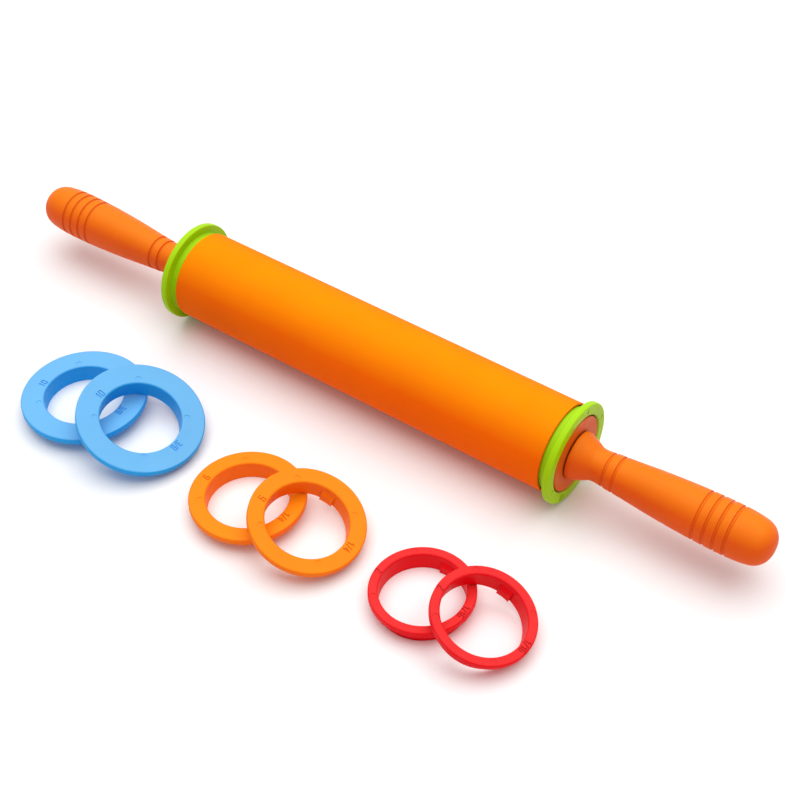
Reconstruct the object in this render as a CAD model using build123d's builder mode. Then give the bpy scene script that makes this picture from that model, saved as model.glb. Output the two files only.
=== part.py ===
from build123d import *
from math import asin, atan2, cos, degrees, hypot, radians, sin, sqrt
import os

# Adjustable rolling pin: a soft-skinned roller between two loose handles, a pair of
# thickness rings on its ends, and three more pairs of rings lying beside it.
# Millimetres, +Z up, +X along the pin. The set stands on z = 0 and is centred on the origin.

# Roller
roller_length = 249.8
roller_radius = 26.0
sleeve_wall = 1.3
sleeve_lip_wall = 0.9
sleeve_round = 0.5
core_wall = 2.3
ring_seat_depth = 2.8

# Thickness rings, alike but for how far the flange stands out from the roller, and for
# the lugs inside the bore, which the blue ones lack
ring_height = 11.0
flange_thickness = 4.0
collar_wall = 1.6
collar_clearance = 0.4
ring_end_clearance = 0.2
root_round = 1.2
rim_round = 1.0
rim_under_round = 0.8
bore_round = 1.2
lug_width = 7.5
lug_height = 7.5
lug_land_height = 4.7
lug_reach = 1.4
lug_clearance = 0.3
lugged_rings = ("orange", "green", "red")
mark_depth = 0.5
stroke_width = 0.55
eject_mark_radius = 1.7
eject_mark_depth = 0.2
eject_mark_count = 4
eject_mark_turn = 45.0

# How much thicker than the roller each ring keeps the dough, and the nominal numbers that
# it carries, a whole one and a fraction
ring_steps = {"blue": 10.0, "orange": 6.0, "green": 3.6, "red": 2.0}
ring_marks = {
    "blue": (("one", "zero"), ("three", "slash", "eight")),
    "orange": (("six",), ("one", "slash", "four")),
    "green": (("four",), ("one", "slash", "eight")),
    "red": (("two",), ("one", "slash", "one", "six")),
}
digit_heights = {"blue": 3.7, "orange": 3.9, "green": 3.6, "red": 3.4}
# How wide the digits of the whole number and of the fraction are, and the gaps between them
digit_width_shares = (0.44, 0.40)
digit_gaps = (0.8, 0.6)
# How far before the row's middle the whole number stands
whole_shifts = {"blue": 4.8, "orange": 4.3, "green": 4.0, "red": 3.6}
# How far out from the bore the digits and the round moulding marks stand, where the
# flange is wide enough, and otherwise they stand on its middle
digit_inset = 3.3
eject_inset = 3.0
mounted_ring = "green"
mounted_ring_turn = 28.0

# Where the spare pairs lie: along the roller from its middle, and in front of its axis
spare_places = {
    "blue": (-130.0, 103.3),
    "orange": (-4.8, 109.8),
    "red": (108.7, 108.9),
}
# How far each spare ring has turned about its own axis: the flat one, the leaning one
spare_turns = {"blue": (5.0, 0.0), "orange": (-3.0, 5.5), "red": (-0.5, -0.5)}
# The second ring of each pair leans on the first: how far apart its two touching points
# are, as a share of its collar's width
lean_shares = {"blue": 0.857, "orange": 0.824, "red": 0.791}
lean_gap = 0.35

# End plug, glued into the core at each end
pilot_clearance = 0.4
plug_depth = 19.2
plug_wall = 2.4
plug_web = 4.0
plug_gap = 0.1
notch_clearance = 0.2
notch_depth_clearance = 0.3
hub_wall = 2.7
hub_floor = 2.0
thread_clearance = 0.3
socket_end_gap = 1.8

# End cap, screwed into the plug
cap_clearance = 0.5
cap_recess = 0.2
cap_front_wall = 2.6
cap_skirt_wall = 2.0
cap_round = 0.5
spigot_radius = 14.0
spigot_length = 12.0
cavity_radius = 10.5
cavity_depth = 9.0
seal_groove_depth = 1.6
seal_groove_place = 2.1
seal_gap = 0.1
seal_side_clearance = 0.25

# Handle bearing: bush, washer, socket-head bolt and threaded insert
bolt_radius = 4.0
bolt_head_radius = 6.5
bolt_head_height = 8.0
bolt_length = 40.0
hex_flats = 6.0
hex_depth = 4.0
bush_clearance = 0.05
bush_wall = 2.95
bush_flange_reach = 2.0
bush_flange_thickness = 0.6
washer_radius = 8.0
washer_thickness = 1.1
washer_clearance = 0.2
washer_gap = 0.05
insert_radius = 6.0
insert_length = 16.0
insert_depth = 3.1
bolt_end_room = 4.0
bolt_hole_clearance = 0.2

# Handles
handle_length = 115.2
handle_radius = 14.1
handle_gap = 0.1
flare_radius = 13.9
flare_edge = 1.0
flare_round = 0.4
groove_radius = 0.95
groove_depth = 0.8
# Flare outline between its edge and the neck: along, and out from the neck
bell_shares = ((0.31, 0.73), (0.62, 0.33))
# Grip outline from the neck to the tip: along the handle, and out from its axis
grip_shares = (
    (0.1207, 0.660),
    (0.1767, 0.704),
    (0.2457, 0.750),
    (0.3491, 0.827),
    (0.4698, 0.908),
    (0.5991, 0.968),
    (0.7198, 0.998),
    (0.8190, 0.994),
    (0.9009, 0.938),
    (0.9510, 0.815),
    (0.9830, 0.560),
    (1.0000, 0.000),
)
# Grooves, along the grip outline from the neck
groove_shares = (0.055, 0.110, 0.559, 0.613, 0.668, 0.722)

# Strokes of the engraved digits, as points across and up the digit
digit_shares = {
    "zero": (((0.0, 0.0), (1.0, 0.0), (1.0, 1.0), (0.0, 1.0), (0.0, 0.0)),),
    "one": (((0.6, 0.0), (0.6, 1.0), (0.1, 0.7)),),
    "two": (((0.0, 0.8), (0.0, 1.0), (1.0, 1.0), (1.0, 0.6), (0.0, 0.0), (1.0, 0.0)),),
    "three": (((0.0, 1.0), (1.0, 1.0), (1.0, 0.0), (0.0, 0.0)), ((0.3, 0.5), (1.0, 0.5))),
    "four": (((0.75, 0.0), (0.75, 1.0), (0.0, 0.3), (1.0, 0.3)),),
    "six": (((1.0, 1.0), (0.0, 1.0), (0.0, 0.0), (1.0, 0.0), (1.0, 0.55), (0.0, 0.55)),),
    "eight": (
        ((0.0, 0.0), (1.0, 0.0), (1.0, 1.0), (0.0, 1.0), (0.0, 0.0)),
        ((0.0, 0.5), (1.0, 0.5)),
    ),
    "slash": (((0.1, 0.0), (0.9, 1.0)),),
}

# Radii that fit inside one another
core_radius = roller_radius - sleeve_wall
lip_radius = roller_radius - sleeve_lip_wall
plug_radius = core_radius - core_wall
collar_radius = core_radius - collar_clearance
bore_radius = collar_radius - collar_wall
pilot_radius = bore_radius - pilot_clearance
cap_radius = bore_radius - cap_clearance
lug_radius = bore_radius - lug_reach
socket_radius = spigot_radius + thread_clearance
groove_floor_radius = spigot_radius - seal_groove_depth
seal_section_radius = (socket_radius - groove_floor_radius) / 2 - seal_gap
seal_radius = groove_floor_radius + seal_gap + seal_section_radius
bush_bore_radius = bolt_radius + bush_clearance
bush_radius = bush_bore_radius + bush_wall

# Places along the axis, measured outward from the roller's end
core_end = -ring_seat_depth
ring_back = core_end + ring_end_clearance
ring_front = ring_back + ring_height
ramp_share = (cap_radius - lug_radius) / (bore_radius - lug_radius)
ramp_at_cap = lug_land_height + (lug_height - lug_land_height) * ramp_share
cap_back = ring_back + ramp_at_cap + lug_clearance
cap_front = ring_front - cap_recess
pilot_front = cap_back - plug_gap
spigot_end = cap_back - spigot_length
web_face = spigot_end + cavity_depth
head_face = web_face - washer_thickness - 2 * washer_gap
head_end = head_face - bolt_head_height
bolt_end = head_face + bolt_length
socket_floor = min(head_end, spigot_end) - socket_end_gap
seal_middle = cap_back - seal_groove_place
handle_base = cap_front + bush_flange_thickness + handle_gap
flare_end = handle_base + flare_edge
insert_back = handle_base + insert_depth

# Places in the room
ring_radii = {name: roller_radius + step for name, step in ring_steps.items()}
pin_z = ring_radii[mounted_ring]
front_reach = max(place[1] + ring_radii[name] for name, place in spare_places.items())
pin_y = (front_reach - ring_radii[mounted_ring]) / 2


def end_section(side):
    """Plane through the axis at one end of the roller: x out from the axis, y outward."""
    return Plane(
        origin=(side * roller_length / 2, pin_y, pin_z),
        x_dir=(0, 0, 1),
        z_dir=(0, side, 0),
    )


def end_axis(side):
    """The pin's axis, pointing outward at one end."""
    return Axis((side * roller_length / 2, pin_y, pin_z), (side, 0, 0))


def end_plane(side, place):
    """Plane across the axis at a place outward from the roller's end, turned to the lugs."""
    turn = radians(mounted_ring_turn)
    return Plane(
        origin=(side * (roller_length / 2 + place), pin_y, pin_z),
        x_dir=(0, side * cos(turn), -sin(turn)),
        z_dir=(side, 0, 0),
    )


def tube(inner, outer, start, end, mode=Mode.ADD):
    """Half section of a tube, in the section sketch that is open."""
    with Locations(((inner + outer) / 2, (start + end) / 2)):
        Rectangle(outer - inner, end - start, mode=mode)


def write(piece, label):
    """Name a finished piece and write it."""
    piece.part.label = label
    export_step(piece.part, "parts/" + label + ".step")


def make_sleeve():
    """Soft skin of the roller, with rounded end edges and thinner lips round the collars."""
    with BuildPart() as sleeve:
        with BuildSketch(end_section(1)):
            tube(core_radius, roller_radius, -roller_length, 0)
            for seat_start in (-roller_length, core_end):
                seat_end = seat_start + ring_seat_depth
                tube(core_radius, lip_radius, seat_start, seat_end, mode=Mode.SUBTRACT)
        revolve(axis=end_axis(1))
        rims = sleeve.edges().filter_by(GeomType.CIRCLE).filter_by(
            lambda edge: edge.radius > (core_radius + roller_radius) / 2
        )
        fillet(rims, radius=sleeve_round)
    return sleeve


def make_core():
    """Stiff tube inside the skin, set back at both ends to take the ring collars."""
    with BuildPart() as core:
        with BuildSketch(end_section(1)):
            tube(plug_radius, core_radius, -roller_length - core_end, core_end)
        revolve(axis=end_axis(1))
    return core


def make_plug(side):
    """End plug: skirt in the core, threaded socket, and a pilot notched for the lugs."""
    hub_radius = socket_radius + hub_wall
    web_back = core_end - plug_web
    skirt_end = core_end - plug_depth
    hub_end = socket_floor - hub_floor
    with BuildPart() as plug:
        with BuildSketch(end_section(side)):
            tube(plug_radius - plug_wall, plug_radius, skirt_end, core_end)
            tube(socket_radius, plug_radius, web_back, core_end)
            tube(socket_radius, pilot_radius, core_end, pilot_front)
            tube(socket_radius, hub_radius, hub_end, core_end)
            tube(0, hub_radius, hub_end, socket_floor)
        revolve(axis=end_axis(side))
        with BuildSketch(end_plane(side, core_end)):
            Circle(pilot_radius + pilot_clearance)
            Circle(lug_radius - notch_depth_clearance, mode=Mode.SUBTRACT)
            Rectangle(2 * bore_radius, lug_width + 2 * notch_clearance, mode=Mode.INTERSECT)
        extrude(amount=pilot_front - core_end, mode=Mode.SUBTRACT)
    return plug


def make_cap(side):
    """End cap: disc in the ring's bore, and a threaded spigot that carries the handle."""
    wall_back = cap_front - cap_front_wall
    groove_half = seal_section_radius + seal_side_clearance
    with BuildPart() as cap:
        with BuildSketch(end_section(side)):
            tube(bush_radius, cap_radius, wall_back, cap_front)
            tube(cap_radius - cap_skirt_wall, cap_radius, cap_back, cap_front)
            tube(bush_radius, spigot_radius, web_face, cap_front)
            tube(cavity_radius, spigot_radius, spigot_end, cap_front)
            with Locations((spigot_radius, seal_middle)):
                Rectangle(2 * seal_groove_depth, 2 * groove_half, mode=Mode.SUBTRACT)
        revolve(axis=end_axis(side))
        rim = cap.edges().filter_by(GeomType.CIRCLE).group_by(Axis.X)[-1 if side > 0 else 0]
        fillet(rim.sort_by(SortBy.RADIUS)[-1], radius=cap_round)
    return cap


def make_seal(side):
    """O-ring in the spigot's groove."""
    with BuildPart() as seal:
        with BuildSketch(end_section(side)):
            with Locations((seal_radius, seal_middle)):
                Circle(seal_section_radius)
        revolve(axis=end_axis(side))
    return seal


def make_bush(side):
    """Flanged plain bush in the cap, on which the handle turns."""
    flange_front = cap_front + bush_flange_thickness
    with BuildPart() as bush:
        with BuildSketch(end_section(side)):
            tube(bush_bore_radius, bush_radius, web_face, cap_front)
            tube(bush_bore_radius, bush_radius + bush_flange_reach, cap_front, flange_front)
        revolve(axis=end_axis(side))
    return bush


def make_washer(side):
    """Washer between the bolt's head and the cap."""
    bore = bolt_radius + washer_clearance
    with BuildPart() as washer:
        with BuildSketch(end_section(side)):
            tube(bore, washer_radius, head_face + washer_gap, web_face - washer_gap)
        revolve(axis=end_axis(side))
    return washer


def make_bolt(side):
    """Socket-head bolt through the bush into the handle's insert."""
    with BuildPart() as bolt:
        with BuildSketch(end_section(side)):
            tube(0, bolt_head_radius, head_end, head_face)
            tube(0, bolt_radius, head_face, bolt_end)
        revolve(axis=end_axis(side))
        with BuildSketch(end_plane(side, head_end)):
            RegularPolygon(hex_flats / 2, 6, major_radius=False)
        extrude(amount=hex_depth, mode=Mode.SUBTRACT)
    return bolt


def make_insert(side):
    """Threaded brass insert moulded into the handle."""
    with BuildPart() as insert:
        with BuildSketch(end_section(side)):
            tube(bolt_radius, insert_radius, insert_back, insert_back + insert_length)
        revolve(axis=end_axis(side))
    return insert


def make_handle(side):
    """Handle: flared base, waisted neck, swelling grip with grooves, and a domed end."""
    tip = handle_base + handle_length
    insert_end = insert_back + insert_length
    hole_end = max(bolt_end, insert_end) + bolt_end_room
    points = [
        (handle_radius * out, handle_base + handle_length * along) for along, out in grip_shares
    ]
    neck_radius, neck_place = points[0]
    bell = [
        (
            neck_radius + (flare_radius - neck_radius) * out,
            flare_end + (neck_place - flare_end) * along,
        )
        for along, out in bell_shares
    ]
    with BuildPart() as handle:
        with BuildSketch(end_section(side)):
            with BuildLine():
                grip = Spline(*points, tangents=((0, 1), (-1, 0)))
                Spline((flare_radius, flare_end), *bell, points[0], tangents=((0, 1), (0, 1)))
                Polyline(
                    (flare_radius, flare_end),
                    (flare_radius, handle_base),
                    (0, handle_base),
                    (0, tip),
                )
            make_face()
            tube(0, insert_radius, handle_base, insert_end, mode=Mode.SUBTRACT)
            tube(0, bolt_radius + bolt_hole_clearance, insert_end, hole_end, mode=Mode.SUBTRACT)
            for share in groove_shares:
                middle = grip @ share
                with Locations((middle.X + groove_radius - groove_depth, middle.Y)):
                    Circle(groove_radius, mode=Mode.SUBTRACT)
        revolve(axis=end_axis(side))
        base = handle.edges().filter_by(GeomType.CIRCLE).group_by(Axis.X)[0 if side > 0 else -1]
        fillet(base.sort_by(SortBy.RADIUS)[-1], radius=flare_round)
    return handle


def engrave(digits, height, width, gap, place, shift, flip):
    """Strokes of a row of digits on one side of the open sketch, their tops outward."""
    step = width + gap
    start = -shift - (step * (len(digits) - 1) + width) / 2
    for index, digit in enumerate(digits):
        for line in digit_shares[digit]:
            points = [
                (flip * (start + step * index + width * x), flip * (place + height * (y - 1 / 2)))
                for x, y in line
            ]
            for (x0, y0), (x1, y1) in zip(points, points[1:]):
                with Locations(((x0 + x1) / 2, (y0 + y1) / 2)):
                    SlotCenterToCenter(
                        hypot(x1 - x0, y1 - y0),
                        stroke_width,
                        rotation=degrees(atan2(y1 - y0, x1 - x0)),
                    )


def make_ring(base, name):
    """Thickness ring on its collar's end plane: flange outward, lugs along the plane's x.

    A lug's inner face ends in a ramp that rises outward to the bore.
    """
    flange_radius = ring_radii[name]
    flange_width = flange_radius - bore_radius
    digit_height = digit_heights[name]
    digit_place = bore_radius + min(digit_inset, flange_width / 2)
    eject_place = bore_radius + min(eject_inset, flange_width / 2)
    flange_back = ring_height - flange_thickness
    section = Plane(origin=base.origin, x_dir=base.x_dir, z_dir=-base.y_dir)
    face = base.offset(ring_height)
    corners = (
        ((collar_radius, flange_back), root_round),
        ((flange_radius, flange_back), rim_under_round),
        ((flange_radius, ring_height), rim_round),
        ((bore_radius, ring_height), bore_round),
    )
    with BuildPart() as ring:
        with BuildSketch(section) as outline:
            tube(bore_radius, collar_radius, 0, ring_height)
            tube(bore_radius, flange_radius, flange_back, ring_height)
            for corner, radius in corners:
                fillet(outline.vertices().sort_by_distance(corner)[0], radius=radius)
        revolve(axis=Axis(base.origin, base.z_dir))
        if name in lugged_rings:
            with BuildSketch(base):
                Circle(bore_radius + collar_wall / 2)
                Circle(lug_radius, mode=Mode.SUBTRACT)
                Rectangle(2 * collar_radius, lug_width, mode=Mode.INTERSECT)
            extrude(amount=lug_height)
            with BuildSketch(section):
                with BuildLine():
                    Polyline(
                        (lug_radius, lug_land_height),
                        (bore_radius, lug_height),
                        (lug_radius, lug_height),
                        close=True,
                    )
                make_face()
            revolve(axis=Axis(base.origin, base.z_dir), mode=Mode.SUBTRACT)
        with BuildSketch(face):
            with PolarLocations(eject_place, eject_mark_count, start_angle=eject_mark_turn):
                Circle(eject_mark_radius)
        extrude(amount=-eject_mark_depth, mode=Mode.SUBTRACT)
        with BuildSketch(face):
            shifts = (whole_shifts[name], 0)
            for digits, share, gap, shift, flip in zip(
                ring_marks[name], digit_width_shares, digit_gaps, shifts, (1, -1)
            ):
                width = digit_height * share
                engrave(digits, digit_height, width, gap, digit_place, shift, flip)
        extrude(amount=-mark_depth, mode=Mode.SUBTRACT)
    return ring


def turned(base, turn):
    """The same plane, turned about its own axis."""
    return Plane(base.location * Rotation(0, 0, turn))


def flat_base(name):
    """Plane under a ring that lies flat, flange up."""
    along, before = spare_places[name]
    return Plane(origin=(along, pin_y - before, 0), x_dir=(0, 1, 0), z_dir=(0, 0, 1))


def leaning_base(name):
    """Plane under the ring that leans on it, its low side away along +X.

    The collar's end edge stands on the ground at its lowest point and touches the other
    ring's upper rim at two points, on either side of the line between the ring centres.
    """
    along, before = spare_places[name]
    rise = ring_height + lean_gap
    half_width = collar_radius * lean_shares[name]
    uphill = sqrt(collar_radius**2 - half_width**2)
    slope = asin(rise / (collar_radius + uphill))
    reach = sqrt((ring_radii[name] + lean_gap - rim_round / 2) ** 2 - half_width**2)
    shift = reach + uphill * cos(slope)
    return Plane(
        origin=(along + shift, pin_y - before, collar_radius * sin(slope)),
        x_dir=(0, 1, 0),
        z_dir=(sin(slope), 0, cos(slope)),
    )


os.makedirs("parts", exist_ok=True)

write(make_sleeve(), "roller_sleeve")
write(make_core(), "roller_core")
for side, side_name in ((-1, "left"), (1, "right")):
    write(make_plug(side), "end_plug_" + side_name)
    write(make_cap(side), "end_cap_" + side_name)
    write(make_seal(side), "o_ring_" + side_name)
    write(make_bush(side), "handle_bush_" + side_name)
    write(make_washer(side), "thrust_washer_" + side_name)
    write(make_bolt(side), "axle_bolt_" + side_name)
    write(make_insert(side), "threaded_insert_" + side_name)
    write(make_handle(side), "handle_" + side_name)
    write(make_ring(end_plane(side, ring_back), mounted_ring), "ring_green_" + side_name)
for name, (flat_turn, leaning_turn) in spare_turns.items():
    write(make_ring(turned(flat_base(name), flat_turn), name), "ring_" + name + "_flat")
    write(make_ring(turned(leaning_base(name), leaning_turn), name), "ring_" + name + "_leaning")
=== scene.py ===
"""Looks of the adjustable rolling pin: materials, floor, light and camera, in metres."""

import bpy
from mathutils import Matrix, Vector

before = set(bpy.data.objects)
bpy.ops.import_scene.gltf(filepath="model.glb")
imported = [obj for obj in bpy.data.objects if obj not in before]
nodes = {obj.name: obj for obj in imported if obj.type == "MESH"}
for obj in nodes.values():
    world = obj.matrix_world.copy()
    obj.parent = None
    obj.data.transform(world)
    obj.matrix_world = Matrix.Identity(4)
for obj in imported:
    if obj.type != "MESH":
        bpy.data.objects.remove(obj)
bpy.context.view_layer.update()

# Colours, as linear shares of red, green and blue. Those with two are lit and shaded copies of one
# colour: clearer where they face up, and deeper, with painted shade, on their flanks and inside
# their bores.
silicone_shares = ((1.0, 0.290, 0.000), (1.0, 0.140, 0.000))
cap_shares = ((0.76, 0.125, 0.003), (0.68, 0.110, 0.004))
handle_shares = ((0.92, 0.212, 0.005), (0.84, 0.100, 0.003))
green_shares = ((0.41, 0.730, 0.008), (0.38, 0.660, 0.000))
blue_shares = ((0.150, 0.470, 0.830), (0.008, 0.335, 0.800))
orange_shares = ((0.94, 0.270, 0.006), (1.00, 0.185, 0.004))
red_shares = ((0.84, 0.028, 0.028), (0.86, 0.000, 0.006))
inner_share = (0.68, 0.66, 0.62)
nylon_share = (0.78, 0.76, 0.70)
rubber_share = (0.018, 0.018, 0.020)
steel_share = (0.60, 0.60, 0.62)
brass_share = (0.80, 0.58, 0.26)

# The upward part of the direction a face looks in, where it has only its clear, lit copy of the
# colour and where it has only its painted shade copy.
facing_up = 1.0
facing_out = 0.4

# Sizes and depths of the surface detail.
mottle_size = 0.024
cloud_size = 0.006
grain_size = 0.0007
speck_size = 0.00035
turning_size = 0.0003
turning_stretch = (1.0, 0.06, 0.06)
turning_depth = 0.00001
skin_grain = 0.000020
plastic_grain = 0.000012
wave_ratio = 1.5
# How far the painted shade in hollows and seams reaches, and how many rays find it.
hollow_shade_reach = 0.0016
hollow_shade_samples = 6

# How much fine detail each noise has, and the middle of its range, which spread() uses.
plain_detail = 3.0
cloud_detail = 4.0
bump_detail = 2.0
speck_detail = 1.0
noise_middle = (0.3, 0.7)

# How far mottling, specks and tool marks are from the plain colour.
mottle = 0.03
speck_level = 0.6
mark_levels = (0.85, 1.1)

# Roughness and how far it wanders, gloss, and the level of the painted shade colour in a hollow,
# where painted shade darkens corners and seams.
skin_roughness = 0.75
skin_gloss = 0.05
cap_roughness = 0.45
cap_gloss = 0.12
grip_roughness = 0.45
grip_gloss = 0.10
core_roughness = 0.60
core_gloss = 0.40
nylon_roughness = 0.45
nylon_gloss = 0.50
steel_roughness = 0.28
brass_roughness = 0.32
ring_roughness = 0.42
moulded_wander = 0.05
metal_wander = (-0.08, 0.10)
plain_hollow_shade = 0.55

# Each kind of ring: its colours, its gloss and the level of its painted shade colour in a hollow.
ring_looks = {
    "green": (green_shares, 0.10, 0.8),
    "blue": (blue_shares, 0.18, 1.15),
    "orange": (orange_shares, 0.08, 0.8),
    "red": (red_shares, 0.10, 0.6),
}

# Light.
sun_strength = 2.35
sun_spread = 1.35
sun_direction = (0.04, -0.16, -1.0)
world_share = 0.46
world_colour = (1.0, 1.0, 1.0)

# Camera.
camera_place = (0.39543, -0.46449, 0.65839)
camera_right = (0.8169, 0.5766, -0.0141)
camera_up = (-0.4076, 0.5943, 0.6933)
camera_lens = 72.04
camera_shift = (0.0022, 0.0216)
camera_clip = (0.01, 100.0)

# Floor.
floor_half = 6.0
floor_drop = 0.00005
floor_share = (0.90, 0.90, 0.90)
floor_seen_share = (0.95, 0.95, 0.95)
floor_roughness = 0.9
paper_size = 0.002
paper_levels = (0.99, 1.01)


def blank(name):
    """A new material, its node tree and its shader."""
    material = bpy.data.materials.new(name)
    material.use_nodes = True
    tree = material.node_tree
    return material, tree, tree.nodes["Principled BSDF"]


def noise(tree, size, detail=plain_detail, stretch=(1.0, 1.0, 1.0)):
    """Noise over the object's own coordinates, with features of about the given size."""
    coordinates = tree.nodes.new("ShaderNodeTexCoord")
    mapping = tree.nodes.new("ShaderNodeMapping")
    mapping.inputs["Scale"].default_value = stretch
    texture = tree.nodes.new("ShaderNodeTexNoise")
    texture.inputs["Scale"].default_value = 1.0 / size
    texture.inputs["Detail"].default_value = detail
    tree.links.new(coordinates.outputs["Object"], mapping.inputs["Vector"])
    tree.links.new(mapping.outputs["Vector"], texture.inputs["Vector"])
    return texture.outputs["Fac"]


def spread(tree, value, low=0.0, high=1.0, source=noise_middle):
    """A value's source range spread from low to high."""
    node = tree.nodes.new("ShaderNodeMapRange")
    node.inputs["From Min"].default_value = source[0]
    node.inputs["From Max"].default_value = source[1]
    node.inputs["To Min"].default_value = low
    node.inputs["To Max"].default_value = high
    tree.links.new(value, node.inputs["Value"])
    return node.outputs["Result"]


def opaque(share):
    """A colour as Blender takes it, with full opacity after its shares."""
    return (*share, 1.0)


def blend_colours(tree, factor, first, second):
    """A colour between two, by a factor. Either may be a colour or a node's output."""
    node = tree.nodes.new("ShaderNodeMix")
    node.data_type = "RGBA"
    tree.links.new(factor, node.inputs["Factor"])
    for place, colour in (("A_Color", first), ("B_Color", second)):
        socket = next(s for s in node.inputs if s.identifier == place)
        if isinstance(colour, bpy.types.NodeSocket):
            tree.links.new(colour, socket)
        else:
            socket.default_value = opaque(colour)
    return next(s for s in node.outputs if s.identifier == "Result_Color")


def bump(tree, height, depth, before=None):
    """A bump of the given depth in metres, over an earlier one."""
    node = tree.nodes.new("ShaderNodeBump")
    node.inputs["Distance"].default_value = depth
    tree.links.new(height, node.inputs["Height"])
    if before is not None:
        tree.links.new(before, node.inputs["Normal"])
    return node.outputs["Normal"]


def shaded(share, factor):
    """A colour made darker or lighter by a factor."""
    return tuple(min(1.0, channel * factor) for channel in share)


def painted_side_shade(tree):
    """How far a face looks away from straight up, which sets its painted side shade: none on top,
    whole on a steep side.
    """
    geometry = tree.nodes.new("ShaderNodeNewGeometry")
    parts = tree.nodes.new("ShaderNodeSeparateXYZ")
    tree.links.new(geometry.outputs["Normal"], parts.inputs["Vector"])
    return spread(tree, parts.outputs["Z"], source=(facing_up, facing_out))


def openness(tree):
    """How open a place is, from none in a tight corner or seam to whole on a plain face; less open
    places get painted shade.
    """
    node = tree.nodes.new("ShaderNodeAmbientOcclusion")
    node.samples = hollow_shade_samples
    node.inputs["Distance"].default_value = hollow_shade_reach
    return node.outputs["AO"]


def background_rays(tree):
    """Whether the camera sees what a ray meets, by itself, in a gloss or through a clear piece."""
    path = tree.nodes.new("ShaderNodeLightPath")
    seen = path.outputs["Is Camera Ray"]
    for kind in ("Is Glossy Ray", "Is Transmission Ray"):
        either = tree.nodes.new("ShaderNodeMath")
        either.operation = "MAXIMUM"
        tree.links.new(seen, either.inputs[0])
        tree.links.new(path.outputs[kind], either.inputs[1])
        seen = either.outputs["Value"]
    return seen


def moulded(name, shares, roughness, gloss, grain_depth=plastic_grain, hollow=plain_hollow_shade):
    """Moulded plastic or rubber: soft mottling, a fine grain, specks and uneven gloss, with a
    painted lighter top and painted shade on its sides, in its bores and in hollows and seams.
    """
    material, tree, shader = blank(name)
    clear, painted_shade_colour = shares
    broad = spread(tree, noise(tree, mottle_size))
    cloud = spread(tree, noise(tree, cloud_size, cloud_detail))
    # Painted light and shade: faces that look up take the lighter colour, sideways faces and bores
    # the darker one.
    side = painted_side_shade(tree)
    dark = blend_colours(tree, side, shaded(clear, 1.0 - mottle), shaded(painted_shade_colour, 1.0 - mottle))
    light = blend_colours(tree, side, shaded(clear, 1.0 + mottle), shaded(painted_shade_colour, 1.0 + mottle))
    plain = blend_colours(tree, broad, dark, light)
    fleck = spread(tree, noise(tree, speck_size, speck_detail), high=mottle)
    flecked = blend_colours(tree, fleck, plain, shaded(painted_shade_colour, speck_level))
    # Painted shade: tight corners, seams, engraved marks and contacts take a darker copy of the
    # colour.
    colour = blend_colours(tree, openness(tree), shaded(painted_shade_colour, hollow), flecked)
    tree.links.new(colour, shader.inputs["Base Color"])
    uneven = spread(tree, cloud, roughness - moulded_wander, roughness + moulded_wander)
    tree.links.new(uneven, shader.inputs["Roughness"])
    shader.inputs["Specular IOR Level"].default_value = gloss
    waves = bump(tree, noise(tree, cloud_size, bump_detail), grain_depth * wave_ratio)
    grain = bump(tree, noise(tree, grain_size, bump_detail), grain_depth, waves)
    tree.links.new(grain, shader.inputs["Normal"])
    return material


def plain_moulded(name, share, roughness, gloss):
    """Moulded plastic or rubber with one colour all round, darkened with painted shade in hollows
    and seams.
    """
    return moulded(name, (share, share), roughness, gloss)


def metal(name, share, roughness):
    """Turned metal with fine tool marks round its axis."""
    material, tree, shader = blank(name)
    marks = noise(tree, turning_size, stretch=turning_stretch)
    darker, lighter = mark_levels
    colour = blend_colours(tree, marks, shaded(share, darker), shaded(share, lighter))
    tree.links.new(colour, shader.inputs["Base Color"])
    smoother, rougher = metal_wander
    uneven = spread(tree, marks, roughness + smoother, roughness + rougher)
    tree.links.new(uneven, shader.inputs["Roughness"])
    tree.links.new(bump(tree, marks, turning_depth), shader.inputs["Normal"])
    shader.inputs["Metallic"].default_value = 1.0
    return material


# The materials, and which nodes wear each, by the start of their names.
skin = moulded("silicone_skin", silicone_shares, skin_roughness, skin_gloss, skin_grain)
cap = moulded("cap_orange", cap_shares, cap_roughness, cap_gloss)
grip = moulded("handle_orange", handle_shares, grip_roughness, grip_gloss)
core = plain_moulded("inner_grey", inner_share, core_roughness, core_gloss)
nylon = plain_moulded("bush_white", nylon_share, nylon_roughness, nylon_gloss)
rubber = plain_moulded("seal_black", rubber_share, core_roughness, core_gloss)
steel = metal("steel_turned", steel_share, steel_roughness)
brass = metal("brass_turned", brass_share, brass_roughness)
ring_plastics = {
    f"ring_{colour}_": moulded(f"ring_{colour}", shares, ring_roughness, gloss, hollow=hollow)
    for colour, (shares, gloss, hollow) in ring_looks.items()
}
node_materials = {
    "roller_sleeve": skin,
    "roller_core": core,
    "end_plug_": core,
    "end_cap_": cap,
    "o_ring_": rubber,
    "handle_bush_": nylon,
    "thrust_washer_": steel,
    "axle_bolt_": steel,
    "threaded_insert_": brass,
    "handle_l": grip,
    "handle_r": grip,
    **ring_plastics,
}
for name, node in nodes.items():
    for start, material in node_materials.items():
        if name.startswith(start):
            node.data.materials.clear()
            node.data.materials.append(material)


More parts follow.
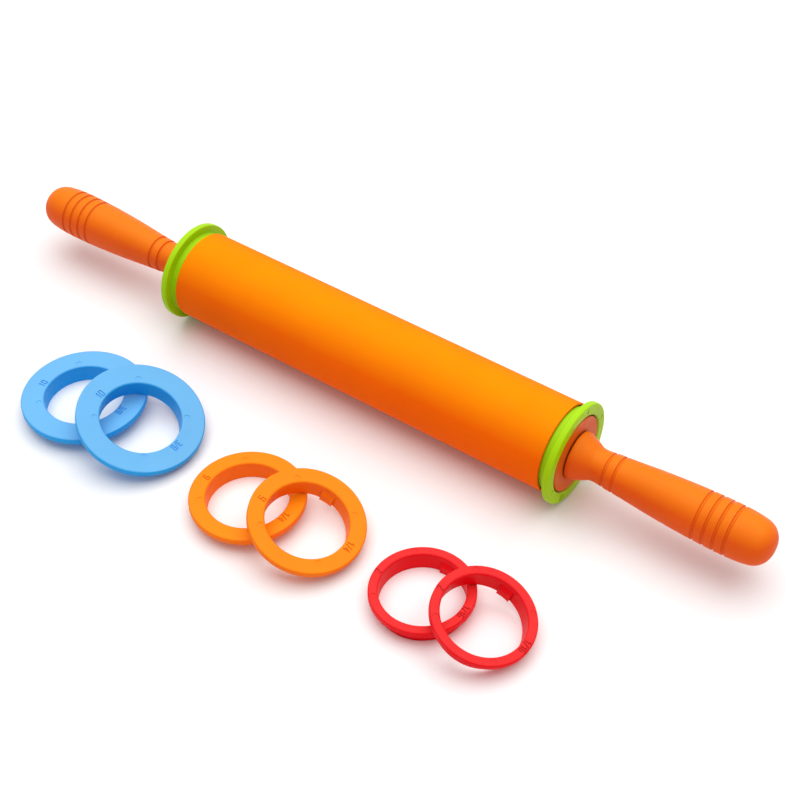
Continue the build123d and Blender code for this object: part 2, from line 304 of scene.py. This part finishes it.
def lay_floor():
    """The pale floor, which keeps the soft shadows of what stands on it."""
    corners = [(-floor_half, -floor_half), (floor_half, -floor_half)]
    corners += [(floor_half, floor_half), (-floor_half, floor_half)]
    mesh = bpy.data.meshes.new("floor")
    mesh.from_pydata([(x, y, -floor_drop) for x, y in corners], [], [(0, 1, 2, 3)])
    floor = bpy.data.objects.new("floor", mesh)
    bpy.context.scene.collection.objects.link(floor)
    material, tree, shader = blank("floor_white")
    paper = spread(tree, noise(tree, paper_size))
    darker, lighter = paper_levels
    colour = blend_colours(tree, paper, shaded(floor_share, darker), shaded(floor_share, lighter))
    tree.links.new(colour, shader.inputs["Base Color"])
    shader.inputs["Roughness"].default_value = floor_roughness
    shader.inputs["Specular IOR Level"].default_value = 0.0
    seen = tree.nodes.new("ShaderNodeBsdfDiffuse")
    seen.inputs["Color"].default_value = opaque(floor_seen_share)
    mix = tree.nodes.new("ShaderNodeMixShader")
    tree.links.new(background_rays(tree), mix.inputs["Fac"])
    tree.links.new(shader.outputs["BSDF"], mix.inputs[1])
    tree.links.new(seen.outputs["BSDF"], mix.inputs[2])
    tree.links.new(mix.outputs["Shader"], tree.nodes["Material Output"].inputs["Surface"])
    mesh.materials.append(material)


def light_world():
    """Even light from all round, and white where the background is seen."""
    world = bpy.data.worlds.new("studio")
    bpy.context.scene.world = world
    world.use_nodes = True
    tree = world.node_tree
    background = tree.nodes["Background"]
    level = tree.nodes.new("ShaderNodeMapRange")
    level.inputs["To Min"].default_value = world_share
    tree.links.new(background_rays(tree), level.inputs["Value"])
    tree.links.new(level.outputs["Result"], background.inputs["Strength"])
    background.inputs["Color"].default_value = opaque(world_colour)


def hang_lamp():
    """One broad soft lamp overhead, a little behind the object."""
    lamp = bpy.data.lights.new("softbox", "SUN")
    lamp.energy = sun_strength
    lamp.angle = sun_spread
    holder = bpy.data.objects.new("softbox", lamp)
    holder.rotation_mode = "QUATERNION"
    holder.rotation_quaternion = Vector(sun_direction).to_track_quat("-Z", "Y")
    bpy.context.scene.collection.objects.link(holder)


def place_camera():
    """The camera at the photograph's viewing angle."""
    right = Vector(camera_right).normalized()
    up = Vector(camera_up)
    up = (up - right * up.dot(right)).normalized()
    camera = bpy.data.cameras.new("camera")
    camera.lens = camera_lens
    camera.shift_x, camera.shift_y = camera_shift
    camera.clip_start, camera.clip_end = camera_clip
    turn = Matrix((right, up, right.cross(up))).transposed().to_4x4()
    holder = bpy.data.objects.new("camera", camera)
    holder.matrix_world = Matrix.Translation(camera_place) @ turn
    bpy.context.scene.collection.objects.link(holder)
    bpy.context.scene.camera = holder


lay_floor()
light_world()
hang_lamp()
place_camera()
bpy.context.scene.view_settings.view_transform = "Standard"
